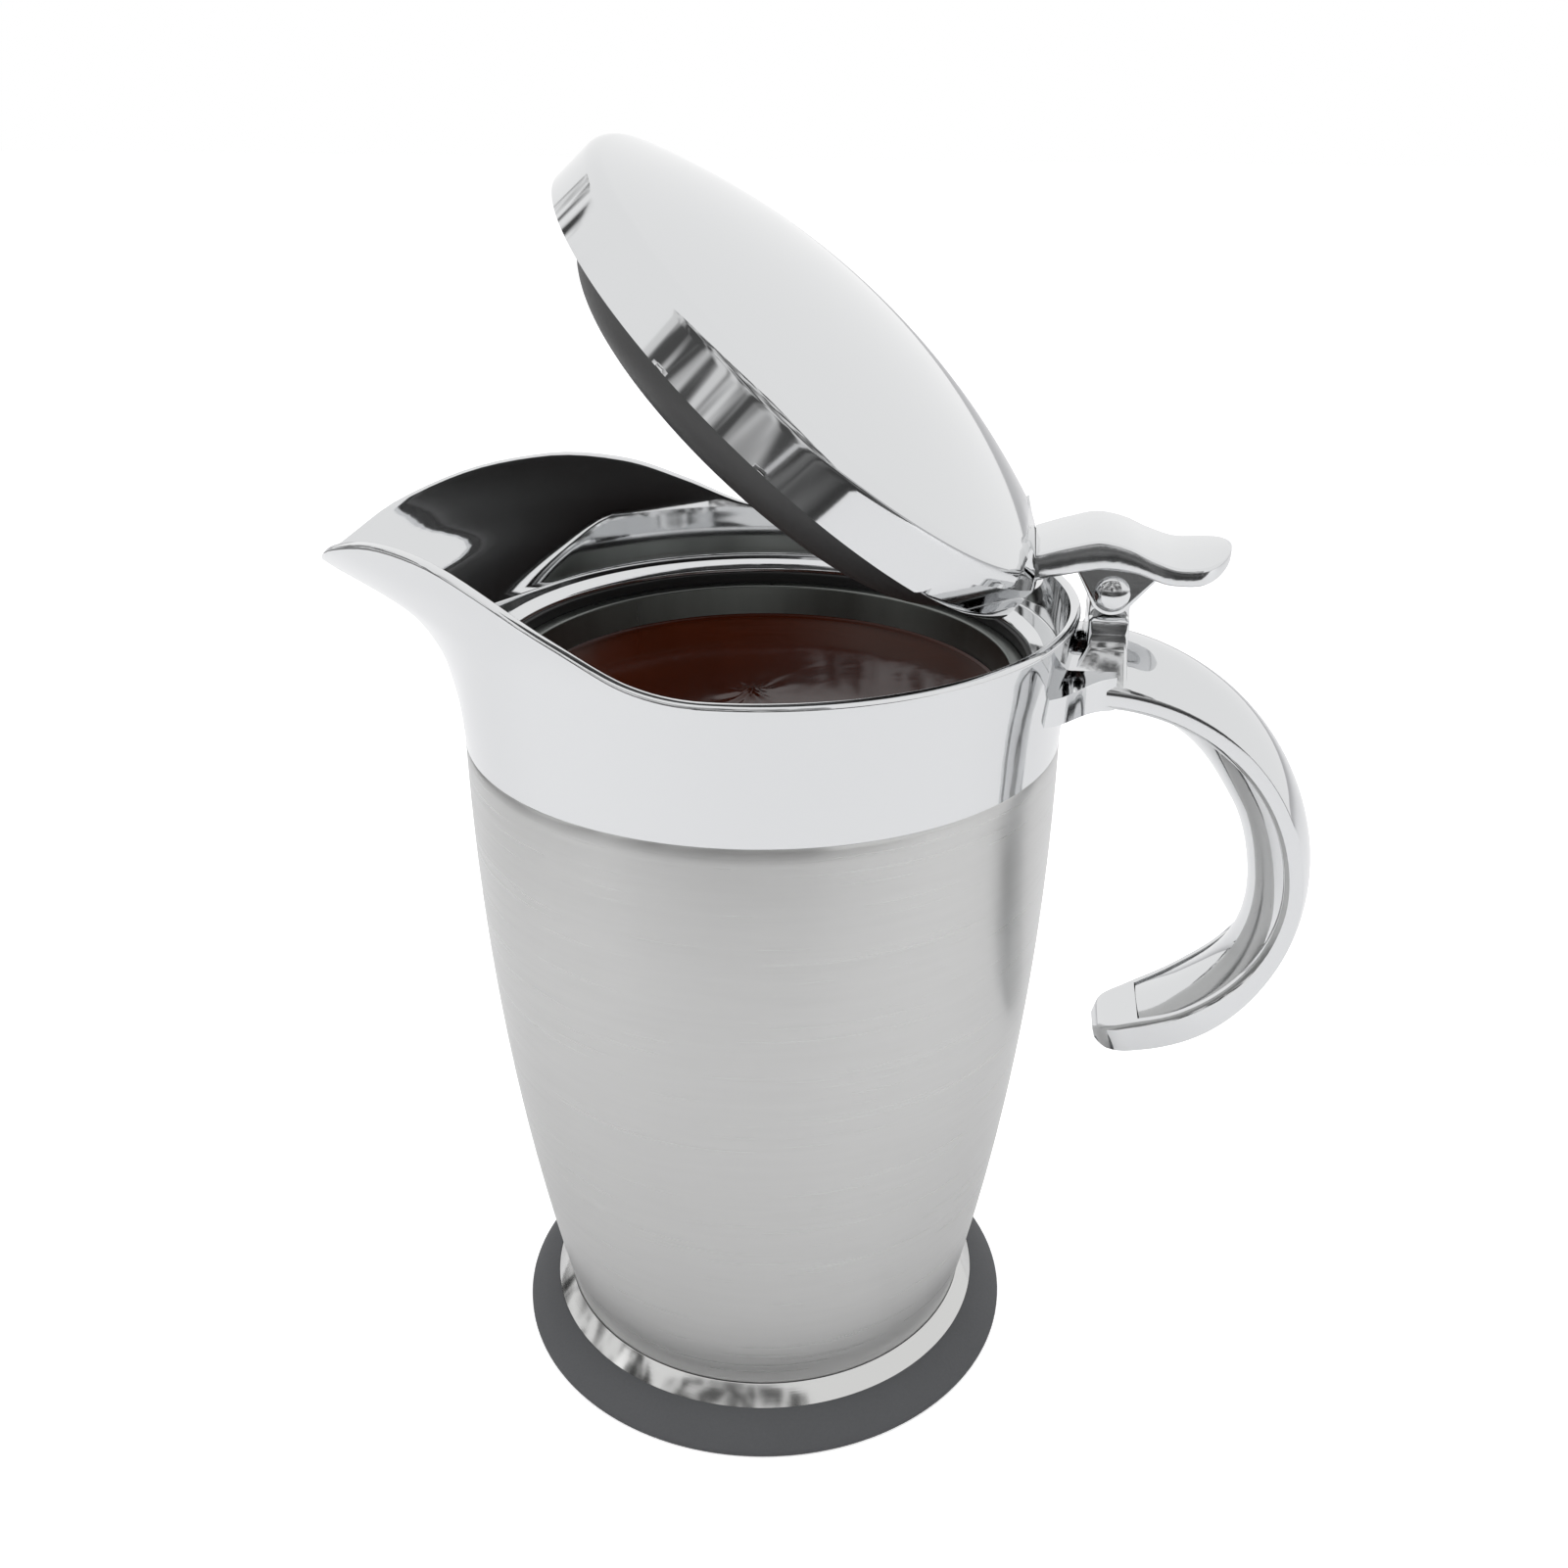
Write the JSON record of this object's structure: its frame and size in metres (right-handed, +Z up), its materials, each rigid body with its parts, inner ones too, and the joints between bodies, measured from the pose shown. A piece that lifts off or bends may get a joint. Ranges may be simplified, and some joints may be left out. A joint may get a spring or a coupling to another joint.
{
  "type": "syrup dispenser",
  "caption": "Double-wall steel syrup jug with a chromed wave-rimmed pouring collar, a C-handle and a thumb-lever lid that tips back on a cross pin.",
  "frame": {"origin": "centre of the base's flat underside, on the vessel's own axis", "axes": "+Z up along the vessel's axis, -X towards the spout, +X towards the handle, Y along the lid's hinge pin"},
  "size_m": [0.1826, 0.112, 0.231],
  "materials": {
    "base_rubber": "matt grey-black",
    "polished_steel": "polished stainless steel",
    "brushed_steel": "fine brushed stainless steel",
    "liner_steel": "satin stainless steel",
    "chromed_plastic": "bright chrome over moulded plastic",
    "chromed_zinc": "bright chrome over die-cast zinc",
    "gasket_rubber": "black silicone",
    "insert_plastic": "satin dark grey moulded plastic",
    "foam": "white foam, hidden",
    "pin_steel": "polished steel",
    "washer_nylon": "natural nylon",
    "screw_steel": "plain steel"
  },
  "bodies": {
    "jug": {"non_slip_base": "base_rubber", "foot_band": "polished_steel", "outer_bottom": "brushed_steel", "outer_wall": "brushed_steel", "inner_liner": "liner_steel", "seam_gasket": "gasket_rubber", "liner_gasket": "gasket_rubber", "spout_collar": "chromed_plastic", "handle_shell": "chromed_plastic", "handle_cover": "chromed_plastic", "handle_screws": "screw_steel", "hinge_post": "chromed_zinc"},
    "lid": {"thumb_lever": "chromed_zinc", "lever_screws": "screw_steel", "lid_shell": "chromed_plastic", "lid_insert": "insert_plastic", "lid_insulation": "foam", "hinge_pin": "pin_steel", "pin_cap": "pin_steel", "hinge_washers": "washer_nylon"}
  },
  "joints": [
    {"name": "lid_hinge", "type": "hinge", "parent": "jug", "child": "lid", "pos_m": [0.0605, 0, 0.1609], "axis": [0, 1, 0], "range_deg": [-42, 28]}
  ]
}
